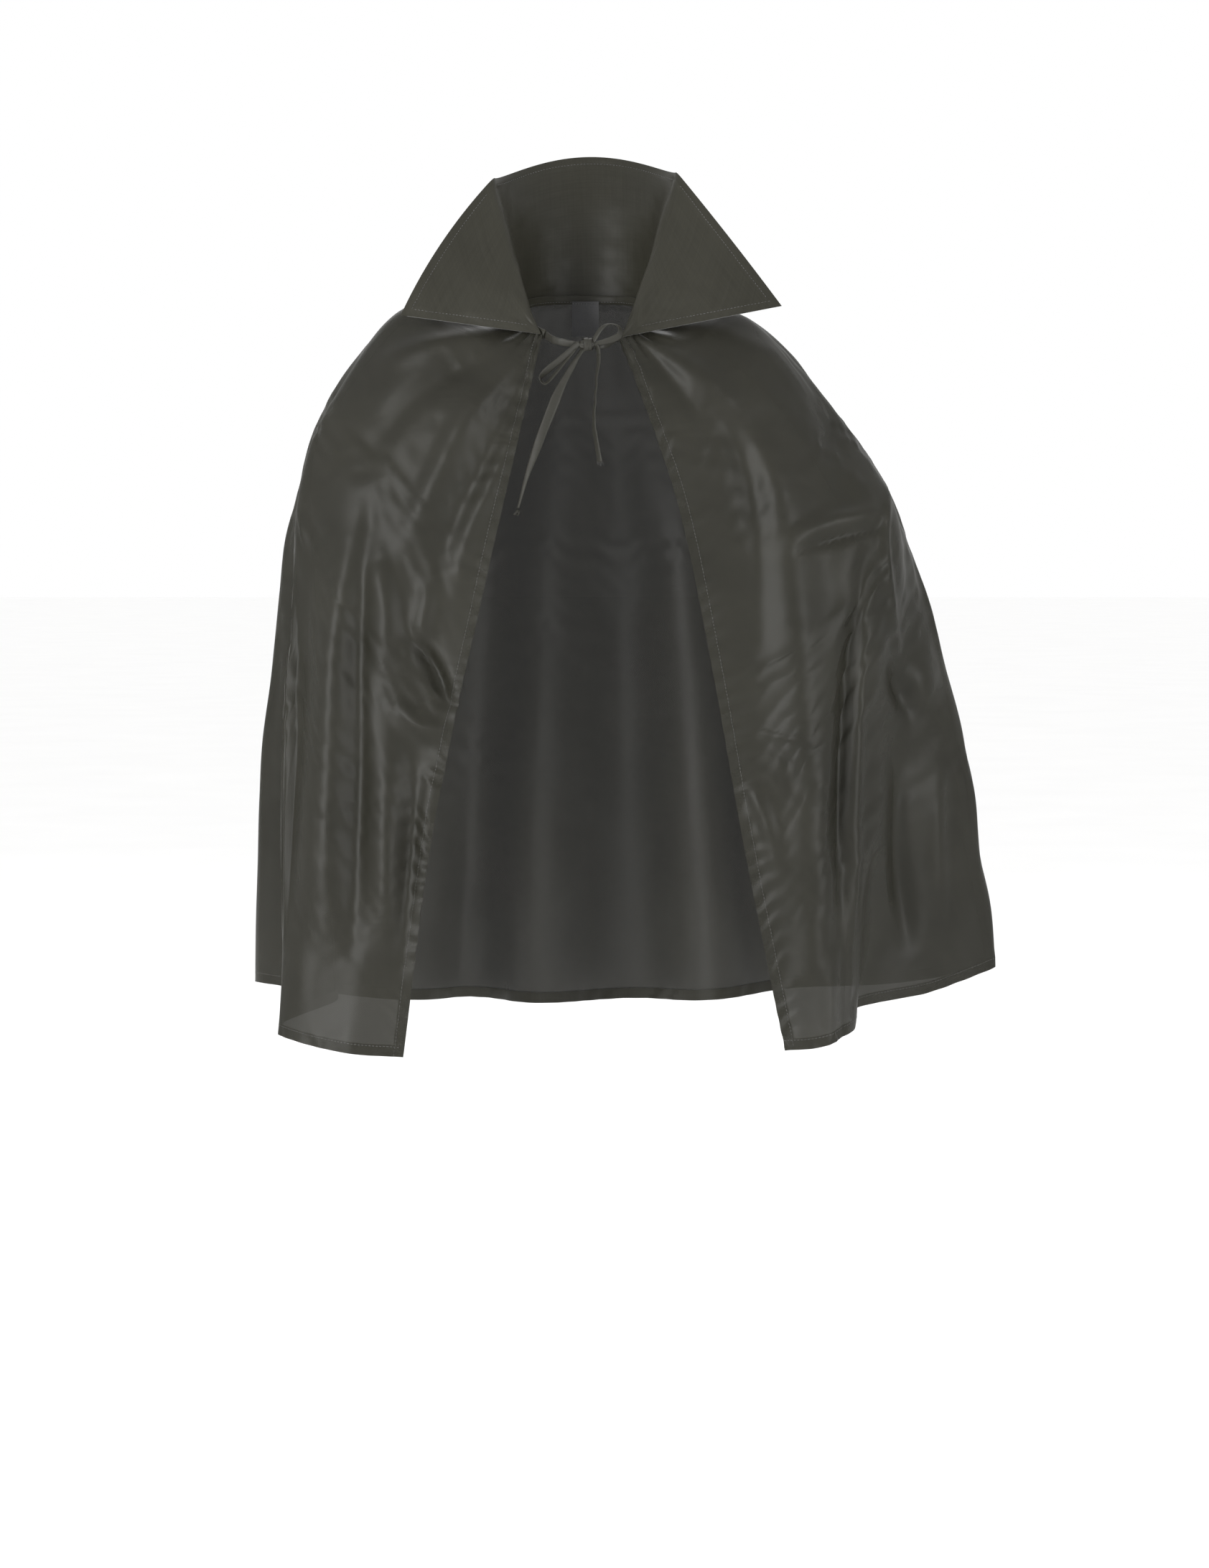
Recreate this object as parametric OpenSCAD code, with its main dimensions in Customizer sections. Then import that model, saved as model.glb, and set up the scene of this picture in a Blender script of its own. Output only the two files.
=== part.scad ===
// Child's masquerade cape with a stand-up wing collar and a self-fabric neck tie.
// It keeps the shape that it has when worn, with the wearer absent. Front is -Y.

/* [Neck] */
// Half the width of the neckline
neck_half_w = 60; // [52:1:68]
// Half the depth of the neckline, front to back
neck_half_d = 60; // [52:1:68]
// Rise of the neckline from front to back, as a slope
neck_tilt = 0.38; // [0.30:0.01:0.45]
// How much higher the neckline sits over the shoulders
neck_saddle = 8; // [4:1:12]
// Angle of the left end of the neckline, from the front centre
neck_left_end = 37; // [33:1:42]
// Angle of the right end of the neckline, from the front centre
neck_right_end = 29; // [25:1:35]

/* [Cloth] */
// Thickness of the body cloth's solid
cloth_t = 1.6; // [1.2:0.1:2.4]
// Width of the turned hem on the fronts and the bottom
hem_w = 10; // [8:1:14]
// Thickness of a run of sewing thread
thread_t = 0.8; // [0.6:0.1:1.2]
// Height where the free part of each front starts
flap_top_z = -255; // [-300:5:-230]

/* [Collar] */
// Thickness of the top collar and of the under collar
collar_t = 0.9; // [0.7:0.1:1.2]
// Thickness of the interfacing between them
interfacing_t = 0.8; // [0.6:0.1:1.2]
// Height of the collar's top edge beside the head
collar_side_z = 125; // [110:1:135]
// Extra height of the top edge behind the head
collar_back_rise = 24; // [10:1:35]
// Half the width of the top edge
collar_top_half_w = 80; // [74:1:88]
// Depth of the top edge behind the neck centre
collar_top_d = 90; // [80:1:100]
// How much higher the top edge is on the right side
collar_lean = 5; // [0:1:8]
// How far the left wing's point reaches out
left_wing_reach = 159; // [145:1:168]
// How far the right wing's point reaches out
right_wing_reach = 170; // [150:1:175]
// Bow of the left wing's outer edge
left_wing_bow = 6; // [0:1:12]
// Bow of the right wing's outer edge
right_wing_bow = 1; // [0:1:12]
// Distance of the topstitching from the edge
topstitch_in = 7; // [5:1:9]

/* [Tie] */
// Width of the tie's flat tube
tie_w = 7; // [5:0.5:8]
// Thickness of the tie's flat tube
tie_t = 1.4; // [1:0.1:2]
// Height of the neck binding
binding_h = 8; // [6:0.5:10]
// Width of the knot
knot_w = 15; // [12:1:16]

/* [Hidden] */
gap = 0.15;             // air between cloth layers
joint_gap = 1.2;        // half the slit beside a hinge line of the body cloth
yoke_gap = 1.35;        // slit between a side panel and the yoke beside it
roll_gap = 3;           // distance of each collar part from its roll line
rows_per_span = 3;      // rows of facets between two levels of the guide lines
cols_per_span = 3;      // columns of facets between two guide lines
cloth_colour = [0.2, 0.2, 0.18];
thread_colour = [0.1, 0.1, 0.1];
label_colour = [0.15, 0.15, 0.15];
// Routes of the two tie tails, from under the knot to their ends
left_tail_route = [
    [-5, -70, -33], [-8, -71, -38], [-12, -72, -45], [-16, -73, -52], [-20, -74, -60],
    [-24, -75, -69], [-28, -76, -79], [-32, -77, -89], [-36, -78, -99], [-40, -79, -110],
    [-44, -80, -121], [-48, -81, -132], [-51, -82, -142], [-54, -83, -153], [-57, -84, -164]
];
right_tail_route = [
    [12, -70, -33], [12, -71, -39], [11, -72, -46], [10, -73, -53], [10, -73, -60],
    [9, -74, -67], [9, -75, -74], [8, -75, -81], [8, -76, -88], [8, -76, -95],
    [9, -77, -101], [10, -77, -107], [11, -78, -113], [12, -78, -119], [13, -79, -125]
];

// ---------- curves ----------
function mix(a, b, t) = a + (b - a) * t;
function unit(v) = v / max(norm(v), 1e-6);
function clamp(i, n) = max(0, min(n - 1, i));
function bend(p0, p1, p2, p3, t) =
    0.5 * (2 * p1 + (p2 - p0) * t + (2 * p0 - 5 * p1 + 4 * p2 - p3) * t * t
    + (3 * p1 - p0 - 3 * p2 + p3) * t * t * t);
// The point at t, counted in points, on a smooth curve through a list of points
function curve_at(p, t) =
    let (n = len(p), i = clamp(floor(t), n - 1), f = t - i,
         before = i > 0 ? p[i - 1] : 2 * p[0] - p[1],
         after = i + 2 < n ? p[i + 2] : 2 * p[n - 1] - p[n - 2])
    bend(before, p[i], p[i + 1], after, f);
function curve(p, steps) = [for (k = [0 : steps]) curve_at(p, k * (len(p) - 1) / steps)];

// ---------- neckline ----------
// Angles run from the front centre over the left side to the back
function neck_at(angle, out = 0, up = 0) =
    let (x = -(neck_half_w + out) * sin(angle), y = -(neck_half_d + out) * cos(angle))
    [x, y, neck_tilt * y + neck_saddle * sin(angle) * sin(angle) + up];

// ---------- body cloth ----------
// Guide lines from the neck to the hem: the angle on the neckline, then five points.
// They start at the left front edge and go round the left arm, the back and the right arm.
left_fold = [[-252, -24, -165], [-266, -60, -614]];
right_fold = [[240, -72, -225], [222, -100, -617]];
guides = [
    [37, [-60, -80, -118], [-80, -88, -205], [-108, -97, -330], [-134, -104, -465], [-156, -110, -634]],
    [46, [-88, -72, -85], [-128, -80, -165], [-165, -86, -280], [-190, -96, -450], [-202, -112, -630]],
    [58, [-118, -52, -38], [-175, -58, -108], [-218, -64, -225], [-240, -78, -420], [-248, -96, -622]],
    [74, [-150, -18, 3], [-215, -16, -73], left_fold[0], [-259, -42, -390], left_fold[1]],
    [86, [-156, 6, 11], [-218, 14, -60], [-244, 16, -155], [-238, 14, -385], [-224, 0, -598]],
    [98, [-151, 34, 7], [-213, 44, -58], [-258, 50, -165], [-284, 60, -380], [-300, 72, -592]],
    [116, [-122, 74, 2], [-172, 90, -70], [-212, 98, -170], [-246, 116, -390], [-262, 130, -606]],
    [136, [-86, 88, 6], [-118, 106, -72], [-140, 108, -180], [-165, 112, -400], [-182, 112, -614]],
    [153, [-52, 92, 8], [-72, 112, -70], [-88, 126, -185], [-105, 150, -405], [-118, 172, -620]],
    [170, [-18, 92, 8], [-26, 108, -72], [-34, 112, -190], [-44, 122, -410], [-52, 128, -618]],
    [186, [16, 92, 8], [24, 112, -72], [30, 126, -190], [36, 152, -408], [40, 172, -622]],
    [203, [50, 90, 6], [72, 108, -70], [88, 110, -185], [108, 118, -400], [122, 120, -614]],
    [221, [86, 84, 2], [122, 102, -72], [152, 114, -180], [188, 138, -395], [212, 154, -608]],
    [240, [120, 64, -2], [180, 78, -75], [230, 80, -175], [290, 88, -385], [325, 104, -592]],
    [257, [140, 30, 2], [212, 34, -72], [275, 28, -170], [338, 30, -370], [371, 36, -572]],
    [272, [142, 6, 4], [216, 4, -72], [276, 4, -170], [318, -4, -370], [310, -6, -590]],
    [288, [136, -20, -4], [210, -24, -86], [272, -34, -185], [268, -36, -400], [240, -42, -600]],
    [306, [125, -52, -38], [190, -58, -110], right_fold[0], [231, -86, -430], right_fold[1]],
    [320, [92, -70, -75], [135, -80, -150], [172, -90, -280], [190, -102, -450], [203, -116, -624]],
    [331, [62, -78, -105], [85, -86, -180], [110, -96, -305], [138, -104, -460], [172, -110, -628]]
];
row_count = 5 * rows_per_span;
left_fold_col = 3 * cols_per_span;
left_seam_col = 6 * cols_per_span;
right_seam_col = 13 * cols_per_span;
right_fold_col = 17 * cols_per_span;
last_col = 19 * cols_per_span;
guide_rows = [for (g = guides) curve(
    [neck_at(g[0], 1.5, -3), g[1], g[2], g[3], g[4], g[5]], row_count)];
// The body cloth's mid-surface: cape[row][column]
cape = [for (r = [0 : row_count]) curve([for (g = guide_rows) g[r]], last_col)];

function grid_normal(g, r, c) =
    let (rows = len(g), cols = len(g[0]),
         along = g[clamp(r + 1, rows)][c] - g[clamp(r - 1, rows)][c],
         across = g[r][clamp(c + 1, cols)] - g[r][clamp(c - 1, cols)])
    unit(cross(across, along));
function normals(g) =
    [for (r = [0 : len(g) - 1]) [for (c = [0 : len(g[0]) - 1]) grid_normal(g, r, c)]];
cape_normals = normals(cape);
function part_of(g, r0, r1, c0, c1) = [for (r = [r0 : r1]) [for (c = [c0 : c1]) g[r][c]]];

// A closed sheet between two offsets, in and out, of a grid of points
module sheet(g, n, inner, outer) {
    rows = len(g);
    cols = len(g[0]);
    count = rows * cols;
    low = [for (r = [0 : rows - 1]) for (c = [0 : cols - 1]) g[r][c] + n[r][c] * inner];
    high = [for (r = [0 : rows - 1]) for (c = [0 : cols - 1]) g[r][c] + n[r][c] * outer];
    border = concat(
        [for (c = [0 : cols - 2]) c],
        [for (r = [0 : rows - 2]) r * cols + cols - 1],
        [for (c = [cols - 1 : -1 : 1]) (rows - 1) * cols + c],
        [for (r = [rows - 1 : -1 : 1]) r * cols]);
    edge_count = len(border);
    faces = concat(
        [for (r = [0 : rows - 2]) for (c = [0 : cols - 2]) let (a = r * cols + c)
            each [[a, a + 1, a + cols + 1], [a, a + cols + 1, a + cols]]],
        [for (r = [0 : rows - 2]) for (c = [0 : cols - 2]) let (a = count + r * cols + c)
            each [[a, a + cols + 1, a + 1], [a, a + cols, a + cols + 1]]],
        [for (k = [0 : edge_count - 1]) let (a = border[k], b = border[(k + 1) % edge_count])
            each [[a, count + b, b], [a, count + a, count + b]]]);
    polyhedron(concat(low, high), faces, convexity = 6);
}

// Moves the columns at the two sides of a part of a grid towards its middle
function nip(p, first, last) =
    [for (row = p) let (n = len(row)) [for (c = [0 : n - 1])
        c == 0 ? row[0] + unit(row[1] - row[0]) * first :
        c == n - 1 ? row[n - 1] + unit(row[n - 2] - row[n - 1]) * last : row[c]]];
function drop_top(p, amount) =
    [for (r = [0 : len(p) - 1]) [for (c = [0 : len(p[0]) - 1])
        r == 0 ? p[0][c] + unit(p[1][c] - p[0][c]) * amount : p[r][c]]];
function lift_bottom(p, amount) =
    let (n = len(p)) [for (r = [0 : n - 1]) [for (c = [0 : len(p[0]) - 1])
        r == n - 1 ? p[r][c] + unit(p[n - 2][c] - p[r][c]) * amount : p[r][c]]];

// The row of the body cloth where the free fronts start
function first_below(c, z, r = 0) = cape[r][c][2] < z ? r : first_below(c, z, r + 1);
left_flap_row = first_below(left_fold_col, flap_top_z);
right_flap_row = first_below(right_fold_col, flap_top_z);

module cloth_part(r0, r1, c0, c1, first = 0, last = 0, top = 0, bottom = 0) {
    g = lift_bottom(drop_top(nip(part_of(cape, r0, r1, c0, c1), first, last), top), bottom);
    sheet(g, part_of(cape_normals, r0, r1, c0, c1), -cloth_t / 2, cloth_t / 2);
}

module back_panel() {
    color(cloth_colour)
        cloth_part(0, row_count, left_seam_col, right_seam_col, gap / 2, gap / 2);
}

module left_side_panel() {
    color(cloth_colour)
        cloth_part(0, row_count, left_fold_col, left_seam_col, joint_gap, gap / 2);
}

module right_side_panel() {
    color(cloth_colour)
        cloth_part(0, row_count, right_seam_col, right_fold_col, gap / 2, joint_gap);
}

// The fixed upper part of each front, between the neck and the free part
module left_front_yoke() {
    color(cloth_colour)
        cloth_part(0, left_flap_row, 0, left_fold_col, 0, yoke_gap - joint_gap, 0, joint_gap);
}

module right_front_yoke() {
    color(cloth_colour)
        cloth_part(0, right_flap_row, right_fold_col, last_col, yoke_gap - joint_gap, 0, 0, joint_gap);
}

module left_front() {
    color(cloth_colour)
        cloth_part(left_flap_row, row_count, 0, left_fold_col, 0, joint_gap, joint_gap);
}

module right_front() {
    color(cloth_colour)
        cloth_part(right_flap_row, row_count, right_fold_col, last_col, joint_gap, 0, joint_gap);
}

// ---------- sewing thread ----------
// Two rows or columns of points, thread_t apart, at a distance in from a grid's edge
function row_band(g, r, next, c0, c1, in_by) =
    [for (side = [0.5, -0.5]) [for (c = [c0 : c1])
        g[r][c] + unit(g[next][c] - g[r][c]) * (in_by + side * thread_t)]];
function col_band(g, c, next, r0, r1, in_by) =
    let (order = next > c ? [-0.5, 0.5] : [0.5, -0.5])
    [for (r = [r0 : r1]) [for (side = order)
        g[r][c] + unit(g[r][next] - g[r][c]) * (in_by + side * thread_t)]];
module thread(band, surface) {
    color(thread_colour) sheet(band, normals(band), surface, surface + thread_t);
}
thread_out = cloth_t / 2 + 0.6;

module back_hem_thread() {
    thread(row_band(cape, row_count, row_count - 1, left_fold_col + 1, right_fold_col - 1, hem_w),
        thread_out);
}

module left_front_thread() {
    thread(row_band(cape, row_count, row_count - 1, 2, left_fold_col - 1, hem_w), thread_out);
    thread(col_band(cape, 0, 1, left_flap_row + 1, row_count - 1, hem_w), thread_out);
}

module right_front_thread() {
    thread(row_band(cape, row_count, row_count - 1, right_fold_col + 1, last_col - 2, hem_w), thread_out);
    thread(col_band(cape, last_col, last_col - 1, right_flap_row + 1, row_count - 1, hem_w), thread_out);
}

// ---------- collar ----------
collar_lift = 2;
collar_hollow = 7;
collar_rows = 8;
collar_cols = 24;
wing_rows = 8;
wing_cols = 8;
wing_tip_y = -47;
left_tip_z = 2;
right_tip_z = 10;
layer_in = interfacing_t / 2 + gap;

// The collar's top edge, by angle from the front centre over the left side
function top_at(angle) = [
    -collar_top_half_w * sin(angle),
    5 - (collar_top_d - 5) * cos(angle),
    collar_side_z + collar_lean * (1 - sin(angle)) / 2 + collar_back_rise * cos(angle) * cos(angle)];
function collar_point(s, v) =
    let (foot_angle = mix(neck_left_end + 2, 358 - neck_right_end, s), top_angle = mix(90, 270, s),
         hollow = collar_hollow * 4 * v * (1 - v) * sin(180 * s))
    mix(neck_at(foot_angle, 1, collar_lift), top_at(top_angle), v)
    + [sin(top_angle), cos(top_angle), 0] * hollow;
collar_grid = [for (r = [0 : collar_rows]) [for (c = [0 : collar_cols])
    collar_point(c / collar_cols, 1 - r / collar_rows)]];
collar = nip(collar_grid, roll_gap, roll_gap);
collar_normals = normals(collar);
// The under collar ends farther from the roll lines, clear of the wings folded behind it
collar_under = nip(collar_grid, 3 * roll_gap, 3 * roll_gap);
collar_core = part_of(collar, 1, collar_rows - 1, 1, collar_cols - 1);
core_normals = part_of(collar_normals, 1, collar_rows - 1, 1, collar_cols - 1);

// A wing: foot and ear are the ends of its roll line, and tip is its point
left_foot = collar_point(0, 0);
left_ear = collar_point(0, 1);
left_tip = [-left_wing_reach, wing_tip_y, left_tip_z];
right_foot = collar_point(1, 0);
right_ear = collar_point(1, 1);
right_tip = [right_wing_reach, wing_tip_y, right_tip_z];
function off_line(p, a, b) = let (d = unit(b - a)) (p - a) - d * ((p - a) * d);
function wing_point(foot, ear, tip, bulge, a, r) =
    let (shift = unit(off_line(tip, foot, ear)) * roll_gap, f = foot + shift, e = ear + shift,
         bow = unit(off_line(f, tip, e)) * -bulge * 4 * a * (1 - a))
    f + (mix(tip, e, a) + bow - f) * r;
function wing_grid(foot, ear, tip, bulge, a0, a1, r0, r1) =
    [for (i = [0 : wing_rows]) [for (k = [0 : wing_cols])
        wing_point(foot, ear, tip, bulge, mix(a1, a0, i / wing_rows), mix(r0, r1, k / wing_cols))]];
left_wing = wing_grid(left_foot, left_ear, left_tip, left_wing_bow, 0, 1, 1, 0.03);
right_wing = wing_grid(right_foot, right_ear, right_tip, right_wing_bow, 0, 1, 0.03, 1);
left_wing_core = wing_grid(left_foot, left_ear, left_tip, left_wing_bow, 0.07, 0.94, 0.94, 0.12);
right_wing_core = wing_grid(right_foot, right_ear, right_tip, right_wing_bow, 0.07, 0.94, 0.12, 0.94);

module top_layer(g, n) {
    color(cloth_colour) sheet(g, n, -layer_in - collar_t, -layer_in);
}

module under_layer(g, n) {
    color(cloth_colour) sheet(g, n, layer_in, layer_in + collar_t);
}

module core_layer(g, n) {
    color("gray") sheet(g, n, -interfacing_t / 2, interfacing_t / 2);
}
// The topstitching lies on the face of the top collar
stitch_out = -layer_in - collar_t - gap - thread_t;

module collar_back_top() { top_layer(collar, collar_normals); }
module collar_back_under() { under_layer(collar_under, collar_normals); }
module collar_back_interfacing() { core_layer(collar_core, core_normals); }
module collar_back_thread() {
    thread(row_band(collar, 0, 1, 1, collar_cols - 1, topstitch_in), stitch_out);
}
module left_wing_top() { top_layer(left_wing, normals(left_wing)); }
module left_wing_under() { under_layer(left_wing, normals(left_wing)); }
module left_wing_interfacing() { core_layer(left_wing_core, normals(left_wing_core)); }
module left_wing_thread() {
    thread(col_band(left_wing, 0, 1, 1, wing_rows - 1, topstitch_in), stitch_out);
    thread(row_band(left_wing, wing_rows, wing_rows - 1, 1, wing_cols - 4, topstitch_in), stitch_out);
}
module right_wing_top() { top_layer(right_wing, normals(right_wing)); }
module right_wing_under() { under_layer(right_wing, normals(right_wing)); }
module right_wing_interfacing() { core_layer(right_wing_core, normals(right_wing_core)); }
module right_wing_thread() {
    thread(col_band(right_wing, wing_cols, wing_cols - 1, 1, wing_rows - 1, topstitch_in), stitch_out);
    thread(row_band(right_wing, wing_rows, wing_rows - 1, 4, wing_cols - 1, topstitch_in), stitch_out);
}

// ---------- neck binding ----------
binding_in = -2.5;
binding_steps = 48;
function neck_band(out, low, high, first, last, steps) =
    [for (h = [high, low]) [for (k = [0 : steps]) neck_at(mix(first, last, k / steps), out, h)]];

module neck_binding() {
    band = neck_band(binding_in, -binding_h / 2, binding_h / 2,
        neck_left_end, 360 - neck_right_end, binding_steps);
    color(cloth_colour) sheet(band, normals(band), -tie_t / 2, tie_t / 2);
}

module neck_seam_thread() {
    band = neck_band(binding_in, -thread_t / 2, thread_t / 2,
        neck_left_end + 5, 355 - neck_right_end, binding_steps);
    color(thread_colour)
        sheet(band, normals(band), -tie_t / 2 - gap - thread_t, -tie_t / 2 - gap);
}

module bar_tack(angle) {
    band = neck_band(binding_in, -2, 2, angle - 0.8, angle + 0.8, 2);
    color(thread_colour) sheet(band, normals(band), tie_t / 2 + gap, tie_t / 2 + gap + thread_t);
}

module bar_tacks() {
    bar_tack(neck_left_end + 1);
    bar_tack(359 - neck_right_end);
}

module care_label() {
    label_w = 24;
    label_h = 32;
    label_t = 0.6;
    color(label_colour)
        translate([-label_w / 2, neck_at(180, binding_in)[1] - 3.6, neck_at(180)[2] - label_h - 3])
            cube([label_w, label_t, label_h]);
}

// ---------- tie ----------
knot_at = [2, -66, -24];
// A flat tube along a smooth curve, with its width along side
module tape(points, side, steps) {
    line = curve(points, steps);
    band = [for (h = [0.5, -0.5]) [for (p = line) p + unit(side) * h * tie_w]];
    color(cloth_colour) sheet(band, normals(band), -tie_t / 2, tie_t / 2);
}

module left_strand() {
    tape([neck_at(neck_left_end - 1, binding_in), [-26, -59, -20], [-14, -65, -23], [-5, -67, -24]],
        [0, 0, 1], 9);
}

module right_strand() {
    tape([[8, -67, -24], [17, -65, -24], neck_at(361 - neck_right_end, binding_in)],
        [0, 0, 1], 8);
}

module tie_knot() {
    color(cloth_colour)
        translate(knot_at)
            hull() {
                translate([-knot_w / 2 + 4, -2, -1]) sphere(4, $fn = 16);
                translate([knot_w / 2 - 4.4, -2, 0.6]) sphere(4.4, $fn = 16);
            }
}

module upper_loop() {
    tape([[7, -70, -22], [14, -72, -11], [21, -73, -7], [29, -72, -9], [30, -71, -16],
        [23, -71, -20], [8, -69, -24]], [0, -1, 0.45], 24);
}

module lower_loop() {
    tape([[-4, -70, -22.5], [-20, -74, -36.5], [-35, -76, -49], [-38, -77, -54], [-33, -77, -58],
        [-24, -75, -51], [-7, -71, -29.5]], [0.3, -1, 0.35], 24);
}

// A round cord along its route, ring by ring
cord_sides = 8;
cord_r = 2.8;
module cord(route) {
    n = len(route);
    rings = [for (i = [0 : n - 1])
        let (d = unit(route[min(i + 1, n - 1)] - route[max(i - 1, 0)]),
             a = unit(cross(d, [0, 1, 0])), b = cross(d, a))
        for (k = [0 : cord_sides - 1])
            route[i] + (a * cos(360 * k / cord_sides) + b * sin(360 * k / cord_sides)) * cord_r];
    sides = [for (i = [0 : n - 2]) for (k = [0 : cord_sides - 1])
        let (p = i * cord_sides + k, q = i * cord_sides + (k + 1) % cord_sides)
        each [[p, q + cord_sides, q], [p, p + cord_sides, q + cord_sides]]];
    caps = [for (k = [1 : cord_sides - 2])
        each [[0, k, k + 1], [(n - 1) * cord_sides, (n - 1) * cord_sides + k + 1, (n - 1) * cord_sides + k]]];
    polyhedron(rings, concat(sides, caps), convexity = 4);
}

module left_tail() { color(cloth_colour) cord(left_tail_route); }
module right_tail() { color(cloth_colour) cord(right_tail_route); }
module tail_end_knot() {
    color(cloth_colour)
        translate(left_tail_route[len(left_tail_route) - 1] + [-1, -0.3, -4.2]) sphere(3.2, $fn = 16);
}

back_panel();
left_side_panel();
right_side_panel();
left_front_yoke();
right_front_yoke();
left_front();
right_front();
back_hem_thread();
left_front_thread();
right_front_thread();
collar_back_top();
collar_back_under();
collar_back_interfacing();
collar_back_thread();
left_wing_top();
left_wing_under();
left_wing_interfacing();
left_wing_thread();
right_wing_top();
right_wing_under();
right_wing_interfacing();
right_wing_thread();
neck_binding();
neck_seam_thread();
bar_tacks();
care_label();
left_strand();
right_strand();
tie_knot();
lower_loop();
upper_loop();
left_tail();
right_tail();
tail_end_knot();
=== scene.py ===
"""A child's plain black masquerade cape with a stand-up wing collar, tied at the neck.
The cape keeps the shape that it has when worn. Lengths are in metres, in the frame of the CAD part."""
import math

import bpy
import numpy as np
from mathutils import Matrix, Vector


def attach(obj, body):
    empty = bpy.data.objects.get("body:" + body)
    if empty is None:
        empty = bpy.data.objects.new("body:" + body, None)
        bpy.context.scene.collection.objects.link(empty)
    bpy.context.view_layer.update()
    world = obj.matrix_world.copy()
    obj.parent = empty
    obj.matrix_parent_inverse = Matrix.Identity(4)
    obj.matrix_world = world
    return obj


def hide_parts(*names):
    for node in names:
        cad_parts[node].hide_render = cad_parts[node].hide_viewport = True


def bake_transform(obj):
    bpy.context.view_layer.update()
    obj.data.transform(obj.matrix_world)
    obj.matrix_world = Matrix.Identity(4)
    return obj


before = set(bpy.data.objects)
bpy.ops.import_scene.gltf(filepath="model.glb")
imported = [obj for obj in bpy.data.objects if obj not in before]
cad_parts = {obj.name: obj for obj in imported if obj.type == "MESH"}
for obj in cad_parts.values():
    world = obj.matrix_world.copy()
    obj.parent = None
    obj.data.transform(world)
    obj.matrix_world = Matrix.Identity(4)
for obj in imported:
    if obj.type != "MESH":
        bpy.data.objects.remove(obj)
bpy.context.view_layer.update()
MM = 0.001

# ---------- driving dimensions, as in the CAD part ----------
NECK_HALF_W = 60 * MM
NECK_HALF_D = 60 * MM
NECK_TILT = 0.38
NECK_SADDLE = 8 * MM
NECK_LEFT_END = 37
NECK_RIGHT_END = 29
HEM_W = 10 * MM
CLOTH_T = 0.3 * MM
THREAD_PITCH = 0.3 * MM
TIE_W = 7 * MM
TIE_T = 1.3 * MM
BINDING_W = 8 * MM
BINDING_T = 2.4 * MM
COLLAR_SIDE_Z = 125 * MM
COLLAR_LEAN = 5 * MM
COLLAR_BACK_RISE = 24 * MM
COLLAR_TOP_HALF_W = 80 * MM
COLLAR_TOP_D = 90 * MM
COLLAR_HOLLOW = 7 * MM
TOPSTITCH_IN = 7 * MM
LEFT_TIP = np.array([-159, -47, 2]) * MM
RIGHT_TIP = np.array([170, -47, 10]) * MM
LEFT_WING_BOW = 6 * MM
RIGHT_WING_BOW = 1 * MM
FLOOR_Z = -1.064

# Guide lines from the neck to the hem: the angle on the neckline, then five points in mm
GUIDES = [
    (37, [(-60, -80, -118), (-80, -88, -205), (-108, -97, -330), (-134, -104, -465), (-156, -110, -634)]),
    (46, [(-88, -72, -85), (-128, -80, -165), (-165, -86, -280), (-190, -96, -450), (-202, -112, -630)]),
    (58, [(-118, -52, -38), (-175, -58, -108), (-218, -64, -225), (-240, -78, -420), (-248, -96, -622)]),
    (74, [(-150, -18, 3), (-215, -16, -73), (-252, -24, -165), (-259, -42, -390), (-266, -60, -614)]),
    (86, [(-156, 6, 11), (-218, 14, -60), (-244, 16, -155), (-238, 14, -385), (-224, 0, -598)]),
    (98, [(-151, 34, 7), (-213, 44, -58), (-258, 50, -165), (-284, 60, -380), (-300, 72, -592)]),
    (116, [(-122, 74, 2), (-172, 90, -70), (-212, 98, -170), (-246, 116, -390), (-262, 130, -606)]),
    (136, [(-86, 88, 6), (-118, 106, -72), (-140, 108, -180), (-165, 112, -400), (-182, 112, -614)]),
    (153, [(-52, 92, 8), (-72, 112, -70), (-88, 126, -185), (-105, 150, -405), (-118, 172, -620)]),
    (170, [(-18, 92, 8), (-26, 108, -72), (-34, 112, -190), (-44, 122, -410), (-52, 128, -618)]),
    (186, [(16, 92, 8), (24, 112, -72), (30, 126, -190), (36, 152, -408), (40, 172, -622)]),
    (203, [(50, 90, 6), (72, 108, -70), (88, 110, -185), (108, 118, -400), (122, 120, -614)]),
    (221, [(86, 84, 2), (122, 102, -72), (152, 114, -180), (188, 138, -395), (212, 154, -608)]),
    (240, [(120, 64, -2), (180, 78, -75), (230, 80, -175), (290, 88, -385), (325, 104, -592)]),
    (257, [(140, 30, 2), (212, 34, -72), (275, 28, -170), (338, 30, -370), (371, 36, -572)]),
    (272, [(142, 6, 4), (216, 4, -72), (276, 4, -170), (318, -4, -370), (310, -6, -590)]),
    (288, [(136, -20, -4), (210, -24, -86), (272, -34, -185), (268, -36, -400), (240, -42, -600)]),
    (306, [(125, -52, -38), (190, -58, -110), (240, -72, -225), (231, -86, -430), (222, -100, -617)]),
    (320, [(92, -70, -75), (135, -80, -150), (172, -90, -280), (190, -102, -450), (203, -116, -624)]),
    (331, [(62, -78, -105), (85, -86, -180), (110, -96, -305), (138, -104, -460), (172, -110, -628)]),
]
LEFT_FOLD, RIGHT_FOLD = 3, 17          # the guide lines where the free fronts begin
SPANS = len(GUIDES) - 1
SIM_COLS, SIM_ROWS = 7, (10, 9, 12, 19, 19)    # cloth cells to a span between guides or levels
FINE_COLS, FINE_ROWS = 18, (24, 22, 34, 62, 62)
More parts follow.
